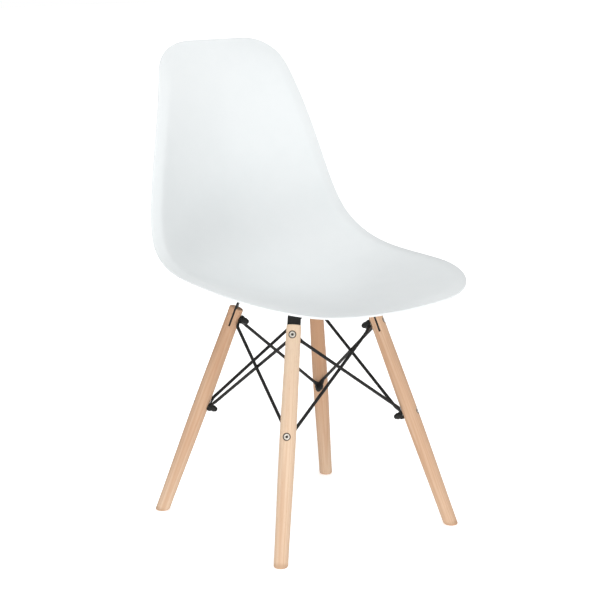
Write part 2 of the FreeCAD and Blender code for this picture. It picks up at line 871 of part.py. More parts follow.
def neck_shape(centre, along, across, knuckle, offset):
    """The neck of a flattened end: a cone toward the knuckle, kept between two planes that part from
    the thickness of the eyelet to that of the wire."""
    side = across.cross(along)
    start = centre + along * dim("neck_start")
    neck_run = knuckle - start
    cone = Part.makeCone(dim("eyelet_neck"), dim("wire_radius"), neck_run.Length, start, neck_run)
    thin = dim("eyelet_thickness") / 2 - dim("neck_relief")
    thick = dim("knuckle_radius")
    margin = 2 * thick
    back, ahead = dim("neck_start") - margin, dim("knuckle_reach") + margin
    reach = dim("knuckle_reach") - dim("neck_start")
    corners = []
    for sign in (1, -1):
        slope = (offset + sign * (thick - thin)) / reach
        for distance in (back, ahead)[::sign]:
            rise = sign * thin + slope * (distance - dim("neck_start"))
            corners.append(centre + along * distance + across * rise - side * margin)
    wedge = Part.Face(Part.makePolygon(corners + corners[:1])).extrude(side * (2 * margin))
    return cone.common(wedge)


def eyelet(centre, across, toward, offset):
    """A flattened wire end: a drilled disc, a neck that thickens to the round wire, and its knuckle."""
    thick, radius = dim("eyelet_thickness"), dim("eyelet_radius")
    along = (toward - across * toward.dot(across)).normalize()
    disc = Part.makeCylinder(radius, thick, centre - across * (thick / 2), across)
    knuckle = centre + along * dim("knuckle_reach") + across * offset
    neck = neck_shape(centre, along, across, knuckle, offset)
    ball = Part.makeSphere(dim("knuckle_radius"), knuckle)
    drill = dim("bolt_radius") + dim("bolt_clearance")
    hole = Part.makeCylinder(drill, 2 * radius, centre - across * radius, across)
    return [disc, neck, ball], hole, knuckle


def strut_shape(top_angle, foot_angle, layer, offset):
    """One strut between the upper joint of one leg and the lower joint of its neighbour."""
    ends = []
    for angle, joint in ((top_angle, "upper_joint_depth"), (foot_angle, "lower_joint_depth")):
        centre, across = joint_centre(angle, joint)
        depth = value(joint_radius(joint)) + dim("eyelet_gap") + (layer + 0.5) * dim("eyelet_thickness")
        ends.append((centre - across * depth, across))
    (top, top_across), (foot, foot_across) = ends
    run = foot - top
    top_end, top_hole, top_knuckle = eyelet(top, top_across, run, offset)
    foot_end, foot_hole, foot_knuckle = eyelet(foot, foot_across, run * -1, offset)
    wire_run = foot_knuckle - top_knuckle
    wire = Part.makeCylinder(dim("wire_radius"), wire_run.Length, top_knuckle, wire_run)
    solid = wire.fuse(top_end + foot_end).cut([top_hole, foot_hole]).removeSplitter()
    return solid.Solids[0] if len(solid.Solids) == 1 else solid


def make_struts():
    """Two crossed struts on every side: the outer ones lie against the legs, the inner ones on those."""
    angle = LEGS[SIDES["rear"]]
    next_angle = angle + QUARTER_TURN
    outer = strut_shape(angle, next_angle, 0, dim("outer_offset"))
    inner = strut_shape(next_angle, angle, 1, dim("inner_offset"))
    nodes = []
    for turns, side in enumerate(SIDES):
        for layer, shape in (("outer", outer), ("inner", inner)):
            nodes.append(fixed_shape(f"strut_{side}_{layer}", shape, quarter_turned(turns)))
    return nodes


# ---------------------------------------------------------------- build, check and write

def check(nodes):
    """Stops if any object failed to compute or any node's shape is empty or invalid."""
    for item in doc.Objects:
        if "Invalid" in item.State or "Error" in item.State:
            raise RuntimeError(f"{item.Name} is {item.State}")
    for node in nodes:
        if node.Shape.isNull() or not node.Shape.isValid() or node.Shape.Volume <= 0:
            raise RuntimeError(f"{node.Label} has a bad shape")


def build():
    form = ShellForm()
    nodes = [make_seat_shell(form)]
    nodes += make_seat_fixings()
    nodes.append(make_strap("frame_strap_upper", LEGS["leg_rear_left"], False))
    nodes.append(make_strap("frame_strap_lower", LEGS["leg_rear_right"], True))
    nodes += [make_leg(name, angle) for name, angle in LEGS.items()]
    nodes += make_leg_fixings()
    nodes += make_struts()
    doc.recompute()
    check(nodes)
    os.makedirs("parts", exist_ok=True)
    for node in nodes:
        node.Shape.exportStep(os.path.join("parts", f"{node.Label}.step"))
        box = node.Shape.BoundBox
        print(f"{node.Label}: {box.XLength:.1f} x {box.YLength:.1f} x {box.ZLength:.1f}"
              f" y {box.YMin:.2f}..{box.YMax:.2f} z {box.ZMin:.2f}..{box.ZMax:.2f}"
              f" volume {node.Shape.Volume:.0f} solids {len(node.Shape.Solids)}")


build()
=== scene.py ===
import math

import bpy
import numpy as np
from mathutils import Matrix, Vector


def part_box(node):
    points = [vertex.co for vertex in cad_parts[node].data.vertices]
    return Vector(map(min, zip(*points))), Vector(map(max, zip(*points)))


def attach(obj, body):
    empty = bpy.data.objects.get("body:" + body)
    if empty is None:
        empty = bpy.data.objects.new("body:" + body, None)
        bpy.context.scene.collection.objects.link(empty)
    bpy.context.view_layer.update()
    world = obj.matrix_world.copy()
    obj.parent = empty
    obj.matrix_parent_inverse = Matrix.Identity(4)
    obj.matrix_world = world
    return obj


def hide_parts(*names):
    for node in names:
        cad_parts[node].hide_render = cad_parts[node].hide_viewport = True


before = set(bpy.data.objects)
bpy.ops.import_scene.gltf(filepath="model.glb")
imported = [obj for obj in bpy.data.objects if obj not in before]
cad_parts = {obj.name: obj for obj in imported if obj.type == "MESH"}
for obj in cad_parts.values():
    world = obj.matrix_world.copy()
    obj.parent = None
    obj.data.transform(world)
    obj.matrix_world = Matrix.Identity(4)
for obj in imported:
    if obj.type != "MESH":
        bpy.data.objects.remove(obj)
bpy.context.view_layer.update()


# ================================================================ seat shell
# One injection moulding in white polypropylene, 4 mm thick: seat and back in one bucket, with a
# laid-over lip all round and four round bosses under the seat that hold brass inserts.
# The surface is satin from the mould, even in colour, with a very fine grain.

# Sizes are in millimetres, and MM takes them to the scene's metres.
MM = 0.001
THICKNESS = 4.0
LIP_WIDTH, LIP_SLOPE, LIP_BEND = 20.8, 0.033, 6.0
CENTRE_Y = (-250.1, -100.7, 4.9, 40.8, 118.6, 229.2, 253.1, 185.0, 245.7)
CENTRE_Z = (410.0, 424.4, 401.4, 381.4, 385.8, 422.0, 501.3, 632.7, 819.5)
HALF_WIDTH = (231.8, 247.6, 236.2, 219.2, 209.8, 160.3, 120.4)
SIDE_LIFT = (31.5, 29.4, 64.8, 115.9, 70.3, 51.4, -4.2)
LIFT_POWER = 1.735
FRONT_CORNER = (117.0, 158.0, 2.1)
TOP_CORNER = (65.0, 56.0, 2.35)
OUTLINE_POINTS, RIM_STEPS = 201, 11
LIP_REACH, LIP_STEP, PAST_LIP = 30.0, 1.5, (32.0, 36.0, 41.0)
MIDDLE_SHARE, INNER_RINGS, INNER_POWER = 0.47, 44, 1.1
BOSS_RADIUS, BOSS_REACH, BOSS_POINTS = 11.0, 80.0, 65
BOSS_FLARE = ((0.0, -3.0), (0.3, -1.7), (1.1, -0.6), (2.4, 0.0), (3.2, 0.8))
INSERT_HOLE, INSERT_DEPTH = 4.8, 6.6
UNDERSIDE_STEPS = 12
strap_low, strap_high = (np.array(corner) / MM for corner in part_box("frame_strap_upper"))
BASE_CENTRE = (strap_low + strap_high) / 2 * [1, 1, 0]
STRAP_TOP, BOSS_BOTTOM = (corner[2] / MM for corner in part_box("mount_pads"))
LEG_ANGLES = {"rear_left": 45.0, "rear_right": 135.0, "front_right": 225.0, "front_left": 315.0}


def smooth(values, share):
    """Bernstein polynomial: the sum of each control value times its binomial weight at the share."""
    share = np.asarray(share, float)
    degree = len(values) - 1
    terms = [
        math.comb(degree, place) * value * share**place * (1 - share) ** (degree - place)
        for place, value in enumerate(values)
    ]
    return sum(terms)


def smooth_rate(values, share):
    """Rate of change of the same polynomial: its degree times the polynomial of the steps."""
    return (len(values) - 1) * smooth(np.diff(values), share)


profile_shares = np.linspace(0, 1, 401)
profile_run = np.hypot(
    np.diff(smooth(CENTRE_Y, profile_shares)), np.diff(smooth(CENTRE_Z, profile_shares))
)
profile_lengths = np.concatenate([[0.0], np.cumsum(profile_run)])
shell_length = profile_lengths[-1]


def corner_run(corner, from_front):
    """Quarter superellipse from the straight side round to the end edge, in pattern coordinates."""
    across, depth, power = corner
    turn = np.linspace(0, math.pi / 2, 49)
    reach = depth * np.sin(turn) ** (2 / power)
    along = depth - reach if from_front else shell_length - depth + reach
    inset = across * (np.cos(turn).clip(0) ** (2 / power) - 1)
    return np.stack([smooth(HALF_WIDTH, along / shell_length) + inset, along], axis=-1)


front_corner, top_corner = corner_run(FRONT_CORNER, True), corner_run(TOP_CORNER, False)
side_along = np.linspace(FRONT_CORNER[1], shell_length - TOP_CORNER[1], 60)[1:-1]
side_run = np.stack([smooth(HALF_WIDTH, side_along / shell_length), side_along], axis=-1)
half_outline = np.concatenate(
    [[[0.0, 0.0]], front_corner[::-1], side_run, top_corner, [[0.0, shell_length]]]
)


def edge_distance(across, along):
    """Shortest distance in the flat pattern from each point to the outline."""
    point = np.stack([np.abs(across), along], axis=-1).reshape(-1, 1, 2)
    start, run = half_outline[None, :-1], np.diff(half_outline, axis=0)[None]
    square = np.maximum((run**2).sum(-1), 1e-9)
    share = (((point - start) * run).sum(-1) / square).clip(0, 1)
    gap = point - start - share[..., None] * run
    return np.sqrt((gap**2).sum(-1)).min(1).reshape(across.shape)


def upper_face(across, along):
    """Upper face over the flat pattern: the centre profile, pushed along its own normal by the side
    lift times (across / half width) to a power, less a ramp that lays the outer 20 mm over as a lip."""
    share = np.interp(along, profile_lengths, profile_shares)
    run_y, run_z = smooth_rate(CENTRE_Y, share), smooth_rate(CENTRE_Z, share)
    size = np.hypot(run_y, run_z)
    width = smooth(HALF_WIDTH, along / shell_length)
    lift = smooth(SIDE_LIFT, along / shell_length)
    ratio = np.maximum(np.abs(across) / width, 1e-6)
    inside = LIP_WIDTH - edge_distance(across, along)
    roll = (np.hypot(inside, LIP_BEND) + inside) / 2
    slope = lift * LIFT_POWER / width * ratio ** (LIFT_POWER - 1)
    height = lift * ratio**LIFT_POWER - (slope + LIP_SLOPE) * roll
    y = smooth(CENTRE_Y, share) - run_z / size * height
    z = smooth(CENTRE_Z, share) + run_y / size * height
    return np.stack([across, y, z], axis=-1)


def unit(vectors):
    """Vectors divided by their own lengths."""
    return vectors / np.linalg.norm(vectors, axis=-1, keepdims=True)


def upper_normal(across, along, step=0.5):
    """Normal toward the sitter: cross product of the face's two numeric slopes."""
    slope_across = upper_face(across + step, along) - upper_face(across - step, along)
    slope_along = upper_face(across, along + step) - upper_face(across, along - step)
    return unit(np.cross(slope_across, slope_along))


def evenly(points, count):
    """A polyline's points respaced evenly by length."""
    lengths = np.concatenate([[0.0], np.cumsum(np.linalg.norm(np.diff(points, axis=0), axis=1))])
    wanted = np.linspace(0, lengths[-1], count)
    return np.stack([np.interp(wanted, lengths, points[:, axis]) for axis in range(points.shape[1])], -1)


def shell_points():
    """Rings from the middle of the upper face out to the rim, round the rim, and back underneath."""
    right = evenly(half_outline, OUTLINE_POINTS)
    ring = np.concatenate([right, right[-2:0:-1] * [-1, 1]])
    tangent = unit(np.roll(ring, -1, axis=0) - np.roll(ring, 1, axis=0))
    outward = np.stack([tangent[:, 1], -tangent[:, 0]], axis=-1)
    half = THICKNESS / 2
    insets = np.concatenate([np.arange(half, LIP_REACH, LIP_STEP), PAST_LIP])
    lip = ring[None] - insets[:, None, None] * outward[None]
    middle = np.array([0.0, MIDDLE_SHARE * shell_length])
    spread = 1 - np.linspace(0, 1, INNER_RINGS)[1:-1] ** INNER_POWER
    inner = middle + spread[:, None, None] * (lip[-1] - middle)[None]
    pattern = np.concatenate([lip, inner])[::-1]
    top = upper_face(pattern[..., 0], pattern[..., 1])
    normal = upper_normal(pattern[..., 0], pattern[..., 1])
    out = unit(upper_face(ring[:, 0], ring[:, 1]) - top[-1])
    edge_turn = np.radians(np.linspace(90, -90, RIM_STEPS))[1:-1, None, None]
    rim = top[-1] - half * normal[-1] + half * (np.cos(edge_turn) * out + np.sin(edge_turn) * normal[-1])
    bottom = (top - THICKNESS * normal)[::-1]
    return np.concatenate([top, rim, bottom])


def grid_faces(rows, columns, first, closed):
    """Quads of a grid of points whose columns may close into rings."""
    index = first + np.arange(rows * columns).reshape(rows, columns)
    if closed:
        index = np.concatenate([index, index[:, :1]], axis=1)
    low, high = index[:-1], index[1:]
    return np.stack([low[:, :-1], low[:, 1:], high[:, 1:], high[:, :-1]], -1).reshape(-1, 4).tolist()


class Shape:
    """Points and faces of one piece, gathered grid by grid in millimetres."""

    def __init__(self):
        self.points, self.faces, self.marks, self.count = [], [], [], 0

    def grid(self, points, closed=True, start_cap=True, end_cap=True, marks=None):
        """Adds a grid of rings; a cap closes an end with a fan to the ring's middle. Marks are one
        number per ring, kept on the mesh for a material to read."""
        rows, columns = points.shape[:2]
        marks = np.zeros(rows) if marks is None else np.asarray(marks, float)
        faces = grid_faces(rows, columns, self.count, closed)
        stack, row_marks = [points.reshape(-1, 3)], [np.repeat(marks, columns)]
        extra = self.count + rows * columns
        around = np.arange(columns)
        for wanted, row, turned in ((start_cap, 0, False), (end_cap, rows - 1, True)):
            if not wanted:
                continue
            ring = self.count + row * columns + around
            after = np.roll(ring, -1)
            fan = (after, ring) if not turned else (ring, after)
            faces += np.stack([np.full(columns, extra), *fan], -1).tolist()
            stack.append(points[row].mean(0)[None])
            row_marks.append(marks[[row]])
            extra += 1
        self.points.append(np.concatenate(stack))
        self.marks.append(np.concatenate(row_marks))
        self.faces += faces
        self.count = extra
        return self

    def make(self, name, material, slot, node=None, sharp=35.0):
        """The finished piece in metres, smooth but for edges sharper than an angle."""
        mesh = bpy.data.meshes.new(name)
        mesh.from_pydata((np.concatenate(self.points) * MM).tolist(), [], self.faces)
        mesh.update()
        mesh.shade_smooth()
        mesh.set_sharp_from_angle(angle=math.radians(sharp))
        mark = mesh.attributes.new("mark", "FLOAT", "POINT")
        mark.data.foreach_set("value", np.concatenate(self.marks))
        piece = bpy.data.objects.new(name, mesh)
        bpy.context.scene.collection.objects.link(piece)
        mesh.materials.append(material)
        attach(piece, "root")
        if node:
            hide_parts(node)
        return piece


def seat_underside(x, y):
    """Height of the shell's under face at plan positions, found by stepping the pattern point closer."""
    across, along = x.copy(), y - CENTRE_Y[0]
    for _ in range(UNDERSIDE_STEPS):
        point = upper_face(across, along) - THICKNESS * upper_normal(across, along)
        across += x - point[..., 0]
        along += y - point[..., 1]
    return point[..., 2]


def boss_points(angle):
    """A boss turned round its own upright axis, its top row flared into the curved shell above."""
    turn = np.radians(angle)
    centre = BASE_CENTRE + BOSS_REACH * np.array([math.cos(turn), math.sin(turn), 0])
    around = np.linspace(0, 2 * math.pi, BOSS_POINTS)[:-1]
    hole_top = BOSS_BOTTOM + INSERT_DEPTH
    rows = [(0.3, hole_top), (INSERT_HOLE, hole_top), (INSERT_HOLE, BOSS_BOTTOM + 0.5),
            (INSERT_HOLE + 0.5, BOSS_BOTTOM), (BOSS_RADIUS - 0.7, BOSS_BOTTOM),
            (BOSS_RADIUS - 0.2, BOSS_BOTTOM + 0.2), (BOSS_RADIUS, BOSS_BOTTOM + 0.7)]
    rings = [
        np.stack([centre[0] + radius * np.cos(around), centre[1] + radius * np.sin(around),
                  np.full(around.shape, height)], -1)
        for radius, height in rows
    ]
    for spread, rise in BOSS_FLARE:
        radius = BOSS_RADIUS + spread
        x, y = centre[0] + radius * np.cos(around), centre[1] + radius * np.sin(around)
        rings.append(np.stack([x, y, np.maximum(seat_underside(x, y) + rise, BOSS_BOTTOM + 0.9)], -1))
    return np.stack(rings)


class Value:
    """A node's output. Python arithmetic on it adds Math nodes, and add() makes any other node."""

    def __init__(self, socket):
        self.socket = socket

    def add(self, kind, settings, sockets, output=0):
        """A node of this kind: its settings first, then the values or links of its sockets."""
        tree = self.socket.node.id_data
        node = tree.nodes.new(kind)
        for name, value in settings.items():
            setattr(node, name, value)
        for name, value in sockets.items():
            if isinstance(value, Value):
                tree.links.new(value.socket, node.inputs[name])
            else:
                node.inputs[name].default_value = value
        return Value(node.outputs[output])

    def maths(self, operation, first, second):
        """One Math node over two numbers or values."""
        return self.add("ShaderNodeMath", {"operation": operation}, {0: first, 1: second})

    def __add__(self, other):
        return self.maths("ADD", self, other)

    def __sub__(self, other):
        return self.maths("SUBTRACT", self, other)

    def __mul__(self, other):
        return self.maths("MULTIPLY", self, other)

    def __pow__(self, other):
        return self.maths("POWER", self, other)

    def __radd__(self, other):
        return self.maths("ADD", other, self)

    def __rsub__(self, other):
        return self.maths("SUBTRACT", other, self)

    def __rmul__(self, other):
        return self.maths("MULTIPLY", other, self)

    def noise(self, scale, detail=2.0, roughness=0.5, where=None):
        """Cloudy noise from 0 to 1 at a scale per metre, over this value's vector or another."""
        sockets = {"Vector": where or self, "Scale": scale, "Detail": detail, "Roughness": roughness}
        return self.add("ShaderNodeTexNoise", {}, sockets)

    def between(self, low, high):
        """How far this value is from low to high, held to 0 and 1."""
        settings = {"interpolation_type": "SMOOTHSTEP"}
        return self.add("ShaderNodeMapRange", settings, {"Value": self, "From Min": low, "From Max": high})

    def blend(self, first, second):
        """A colour from first to second as this value goes from 0 to 1."""
        return self.add("ShaderNodeMix", {"data_type": "RGBA"}, {0: self, 6: first, 7: second}, 2)

    def bump(self, distance, strength=1.0):
        """A normal from this value as a height of this many metres."""
        return self.add("ShaderNodeBump", {}, {"Height": self, "Distance": distance, "Strength": strength})


def attribute(tree, name, output="Fac"):
    """A number or vector stored on the mesh."""
    node = tree.nodes.new("ShaderNodeAttribute")
    node.attribute_name = name
    return Value(node.outputs[output])


def new_finish(name, constants):
    """A material with one shader, some of its sockets constant, and the place it varies over."""
    material = bpy.data.materials.new(name)
    material.use_nodes = True
    nodes = material.node_tree.nodes
    shader = next(node for node in nodes if node.type == "BSDF_PRINCIPLED")
    for socket, value in constants.items():
        shader.inputs[socket].default_value = value
    place = Value(nodes.new("ShaderNodeTexCoord").outputs["Object"])
    return material, shader, place


def feed(shader, sockets):
    """Links varying values into the shader's sockets."""
    for name, value in sockets.items():
        shader.id_data.links.new(value.socket, shader.inputs[name])


def white_polypropylene():
    """Satin white plastic: slight cloudiness in tint and gloss, over a mould grain 0.4 mm across."""
    material, shader, place = new_finish(
        "white_polypropylene", {"IOR": 1.49, "Specular IOR Level": 0.26, "Sheen Weight": 0.0}
    )
    cloud = place.noise(7.0, 3.0)
    streak = place.noise(38.0, 4.0, 0.6)
    grain = place.noise(1900.0, 2.0, 0.6)
    pores = place.noise(5200.0, 1.0)
    tint = (cloud * 0.7 + streak * 0.3).between(0.3, 0.7)
    feed(shader, {
        "Base Color": tint.blend((0.765, 0.795, 0.802, 1), (0.79, 0.816, 0.822, 1)),
        "Roughness": 0.36 + 0.07 * streak + 0.06 * grain,
        "Normal": (grain * 0.75 + pores * 0.25).bump(0.00003, 0.5),
    })
    return material


shell_shape = Shape().grid(shell_points())
for leg_angle in LEG_ANGLES.values():
    shell_shape.grid(boss_points(leg_angle), end_cap=False)
shell_shape.make(
    "moulded_shell", white_polypropylene(), "white_polypropylene", "seat_shell", sharp=50.0
)


# ================================================================ frame straps
# Two flat bars of black powder-coated steel, 22 by 3 mm, cross on the diagonals under the seat. Their
# ends bend down into the saw slots of the legs; the lower bar dips to pass under the upper one.

STRAP_WIDTH, STRAP_THICKNESS, STRAP_EDGE = 22.4, 3.0, 0.45
STRAP_BEND, JOGGLE_BEND = 6.5, 7.0
JOGGLE_INNER, JOGGLE_OUTER = 15.0, 24.0
BLADE_DEPTH, NEARLY_STRAIGHT = 31.0, math.radians(89.7)
LEG_LENGTH, LEG_LEAN, FOOT_REACH = 397.2, math.radians(20.23), 256.8


def rounded_path(points, radii, steps=10):
    """A polyline with each inner corner replaced by a tangent arc of its radius."""
    path = [points[0][None]]
    for before, corner, after, radius in zip(points, points[1:], points[2:], radii):
        back, ahead = unit(before - corner), unit(after - corner)
        half = math.acos(np.clip(back @ ahead, -1, 1)) / 2
        if radius <= 0 or half > NEARLY_STRAIGHT:
            path.append(corner[None])
            continue
        centre = corner + unit(back + ahead) * (radius / math.sin(half))
        start = corner + back * (radius / math.tan(half)) - centre
        end = corner + ahead * (radius / math.tan(half)) - centre
        swing = math.pi - 2 * half
        share = np.linspace(0, 1, steps)[:, None]
        path.append(centre + (np.sin((1 - share) * swing) * start + np.sin(share * swing) * end)
                    / math.sin(swing))
    path.append(points[-1][None])
    return np.concatenate(path)


def tangents(path):
    """Unit directions along a path, each the mean of the runs on either side."""
    runs = unit(np.diff(path, axis=0))
    return unit(np.concatenate([runs[:1], runs[:-1] + runs[1:], runs[-1:]]))


def rounded_rectangle(half_width, half_height, corner, steps=4):
    """Points round a rectangle with its four corners arced."""
    turn = np.radians(np.linspace(0, 90, steps))
    arc = np.stack([np.cos(turn), np.sin(turn)], -1) * corner
    quarter = arc + [half_width - corner, half_height - corner]
    second = np.stack([-quarter[::-1, 0], quarter[::-1, 1]], -1)
    half = np.concatenate([quarter, second])
    return np.concatenate([half, -half])


def strap_points(angle, joggled):
    """The bar's rounded section carried along its bent centre line."""
    middle = STRAP_TOP - STRAP_THICKNESS / 2
    bend = FOOT_REACH - middle * math.tan(LEG_LEAN)
    tip_run = LEG_LENGTH - BLADE_DEPTH
    tip = (FOOT_REACH - tip_run * math.sin(LEG_LEAN), tip_run * math.cos(LEG_LEAN))
    right = [(bend, middle), tip]
    radii = [STRAP_BEND]
    if joggled:
        dip = middle - STRAP_THICKNESS
        right = [(JOGGLE_INNER, dip), (JOGGLE_OUTER, middle)] + right
        radii = [JOGGLE_BEND, JOGGLE_BEND] + radii
    flat = [(-across, height) for across, height in right[::-1]] + right
    turn = math.radians(angle)
    out = np.array([math.cos(turn), math.sin(turn), 0])
    side = np.array([-math.sin(turn), math.cos(turn), 0])
    corners = np.array([BASE_CENTRE + out * across + [0, 0, height] for across, height in flat])
    path = rounded_path(corners, radii[::-1] + radii)
    normal = np.cross(tangents(path), side)
    section = rounded_rectangle(STRAP_WIDTH / 2, STRAP_THICKNESS / 2, STRAP_EDGE)
    return path[:, None] + section[None, :, :1] * side + section[None, :, 1:] * normal[:, None]


def black_powder_coat():
    """Semi-matt black powder coat: an orange-peel ripple 1 mm across, finer pimples, and a little dust."""
    material, shader, place = new_finish("black_powder_coat", {"IOR": 1.5, "Specular IOR Level": 0.2})
    ripple = place.noise(950.0, 2.0, 0.55)
    pimples = place.noise(3800.0, 1.0)
    cloud = place.noise(60.0, 3.0)
    feed(shader, {
        "Base Color": cloud.between(0.3, 0.75).blend((0.009, 0.009, 0.009, 1), (0.015, 0.015, 0.014, 1)),
        "Roughness": 0.36 + 0.14 * cloud + 0.08 * pimples,
        "Normal": (ripple * 0.7 + pimples * 0.3).bump(0.00006, 0.7),
    })
    return material


black_coat = black_powder_coat()
for strap_name, strap_angle, strap_dips in (
    ("upper", LEG_ANGLES["rear_left"], False), ("lower", LEG_ANGLES["rear_right"], True)
):
    Shape().grid(strap_points(strap_angle, strap_dips)).make(
        f"crossing_strap_{strap_name}", black_coat, "black_steel", f"frame_strap_{strap_name}"
    )


# ================================================================ pads, inserts, washers and screws
# Between each boss and the straps sits a black rubber pad; a washer and a socket-head screw come up
# through the strap into a brass insert pressed into the boss.

PAD_RADIUS, PAD_THICKNESS, PAD_EDGE = 12.0, 3.0, 0.6
WASHER_RADIUS, WASHER_THICKNESS, WASHER_EDGE = 8.0, 1.2, 0.2
SCREW_HOLE, SCREW_RADIUS, SCREW_LENGTH = 3.3, 3.0, 13.0
SCREW_HEAD, SCREW_HEAD_HEIGHT = 5.5, 4.0
SOCKET_WIDTH, SOCKET_DEPTH = 4.0, 2.5
AROUND = np.linspace(0, 2 * math.pi, 49)[:-1]
ASKEW, UPRIGHT = [0.31, -0.21, 0.93], 0.9


def hexagon(width):
    """Radius of a hexagon of this width across flats, at each angle around."""
    return width / 2 / np.cos((AROUND + math.pi / 6) % (math.pi / 3) - math.pi / 6)


def turned(rows):
    """Rings about the +Z axis; a row's radius may itself vary with the angle, as on a hexagon."""
    rings = []
    for radius, height in rows:
        radius = np.broadcast_to(radius, AROUND.shape)
        rings.append(np.stack([radius * np.cos(AROUND), radius * np.sin(AROUND),
                               np.full(AROUND.shape, float(height))], -1))
    return np.stack(rings)


def placed(points, origin, axis):
    """Local points moved so that their +Z lies along an axis and their origin at a point. Their +X is
    the cross product of the axis and a fixed askew direction."""
    axis = unit(np.asarray(axis, float))
    side = unit(np.cross(axis, ASKEW if abs(axis[2]) < UPRIGHT else [1.0, 0.0, 0.0]))
    basis = np.stack([side, np.cross(axis, side), axis])
    return points @ basis + origin


def flat_ring(outer, inner, height, edge):
    """Section of a flat ring with rounded edges, turned; the last row meets the first."""
    rows = [(inner, edge), (inner + edge, 0), (outer - edge, 0), (outer - edge * 0.3, edge * 0.3),
            (outer, edge), (outer, height - edge), (outer - edge * 0.3, height - edge * 0.3),
            (outer - edge, height), (inner + edge, height), (inner, height - edge), (inner, edge)]
    return turned(rows)


def socket_screw(head, head_height, shank, length):
    """Socket-head screw, head top at the origin and shank toward -Z, with a hexagonal recess."""
    recess = hexagon(SOCKET_WIDTH)
    rows = [(0.05, -SOCKET_DEPTH - 0.7), (recess * 0.97, -SOCKET_DEPTH), (recess, -SOCKET_DEPTH + 0.1),
            (recess, -0.35), (recess * 1.06, -0.12), (np.full(AROUND.shape, SOCKET_WIDTH * 0.66), 0.0),
            (head - 0.75, 0.0), (head - 0.3, -0.12), (head - 0.07, -0.4), (head, -0.75),
            (head, -head_height + 0.2), (head - 0.2, -head_height), (shank, -head_height),
            (shank, -length + 0.5), (shank - 0.5, -length)]
    return turned(rows)[:, ::-1]


# How much painted shade each ring of a screw gets, dark in the socket and round the head's rim where shade
# falls in the counterbore, from the socket's floor over the head to the shank's end.
SCREW_PAINTED_SHADE = [1.0, 1.0, 1.0, 1.0, 0.6, 0.0, 0.0, 0.25, 0.7, 1.0, 1.0, 1.0, 0.5, 0.5, 0.5]


def black_rubber():
    """Moulded rubber: near black, dull, with a fine pitted skin and a pale bloom in patches."""
    material, shader, place = new_finish("black_rubber", {"IOR": 1.5, "Specular IOR Level": 0.35})
    bloom, pits = place.noise(90.0, 4.0, 0.6), place.noise(2600.0, 2.0)
    feed(shader, {
        "Base Color": bloom.between(0.45, 0.8).blend((0.02, 0.02, 0.02, 1), (0.05, 0.05, 0.048, 1)),
        "Roughness": 0.66 + 0.2 * bloom,
        "Normal": pits.bump(0.00008, 0.6),
    })
    return material


def turned_brass():
    """Plain brass: turning rings show as a fine ripple, with slight tarnish."""
    material, shader, place = new_finish("turned_brass", {"Metallic": 1.0})
    tarnish, lines = place.noise(240.0, 3.0), place.noise(4200.0, 1.0)
    feed(shader, {
        "Base Color": tarnish.between(0.35, 0.7).blend((0.72, 0.53, 0.24, 1), (0.55, 0.38, 0.17, 1)),
        "Roughness": 0.28 + 0.2 * tarnish,
        "Normal": lines.bump(0.00002, 0.5),
    })
    return material


boss_centres = [
    BASE_CENTRE + BOSS_REACH * np.array([math.cos(math.radians(a)), math.sin(math.radians(a)), 0])
    for a in LEG_ANGLES.values()
]
under_strap = STRAP_TOP - STRAP_THICKNESS - WASHER_THICKNESS
pads, washers, screws = Shape(), Shape(), Shape()
for boss_centre in boss_centres:
    lift = np.array([0.0, 0.0, 1.0])
    pads.grid(flat_ring(PAD_RADIUS, SCREW_HOLE, PAD_THICKNESS, PAD_EDGE) + boss_centre + lift * STRAP_TOP,
              start_cap=False, end_cap=False)
    washers.grid(flat_ring(WASHER_RADIUS, SCREW_HOLE, WASHER_THICKNESS, WASHER_EDGE) + boss_centre
                 + lift * under_strap, start_cap=False, end_cap=False)
    screw_top = boss_centre + lift * (under_strap - SCREW_HEAD_HEIGHT)
    screws.grid(placed(
        socket_screw(SCREW_HEAD, SCREW_HEAD_HEIGHT, SCREW_RADIUS, SCREW_HEAD_HEIGHT + SCREW_LENGTH),
        screw_top, -lift,
    ))
pads.make("boss_pads", black_rubber(), "black_rubber", "mount_pads")
washers.make("strap_washers", black_coat, "black_steel", "frame_washers")
screws.make("strap_screws", black_coat, "black_steel", "frame_screws")
for part_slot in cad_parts["shell_insert_nuts"].material_slots:
    part_slot.material = turned_brass()


# ================================================================ legs
# Four turned beech dowels under a clear matt lacquer. Each swells slightly to the lower joint and
# tapers to a foot cut level with the floor. A saw slot in the top takes the strap's blade, and two
# cross holes with counterbores on the outer face take the bolts.

TOP_RADIUS, BELLY_RADIUS, FOOT_RADIUS = 12.3, 13.6, 11.9
TOP_ROUND, FOOT_ROUND, ROUND_STEPS = 2.0, 3.5, 7
LEG_COLUMNS, LEG_RINGS, END_RINGS = 96, 150, (0.5, 5.0)
UPPER_JOINT, LOWER_JOINT = 17.0, 186.0
SLOT_WIDTH, SLOT_DEPTH = 3.4, 33.0
CROSS_HOLE, COUNTERBORE = 3.3, 6.4
HEAD_SINK, HEAD_HEIGHT = 0.5, 4.0
# Distance in metres of the tree's pith from a leg's axis, growth rings per metre times two pi, how far each
# leg's grain is turned and shifted from the last one's, and how much painted shade each leg gets at its top
# and at its foot.
PITH_ASIDE, PITH_BEHIND, RING_RATE = 0.034, 0.021, 1900.0
GRAIN_TURN, GRAIN_SHIFT = 1.9, 700.0
LEG_PAINTED_SHADE = {
    "rear_left": (0.74, 0.14), "rear_right": (0.52, 0.12),
    "front_right": (-0.12, 0.14), "front_left": (0.34, 0.30),
}


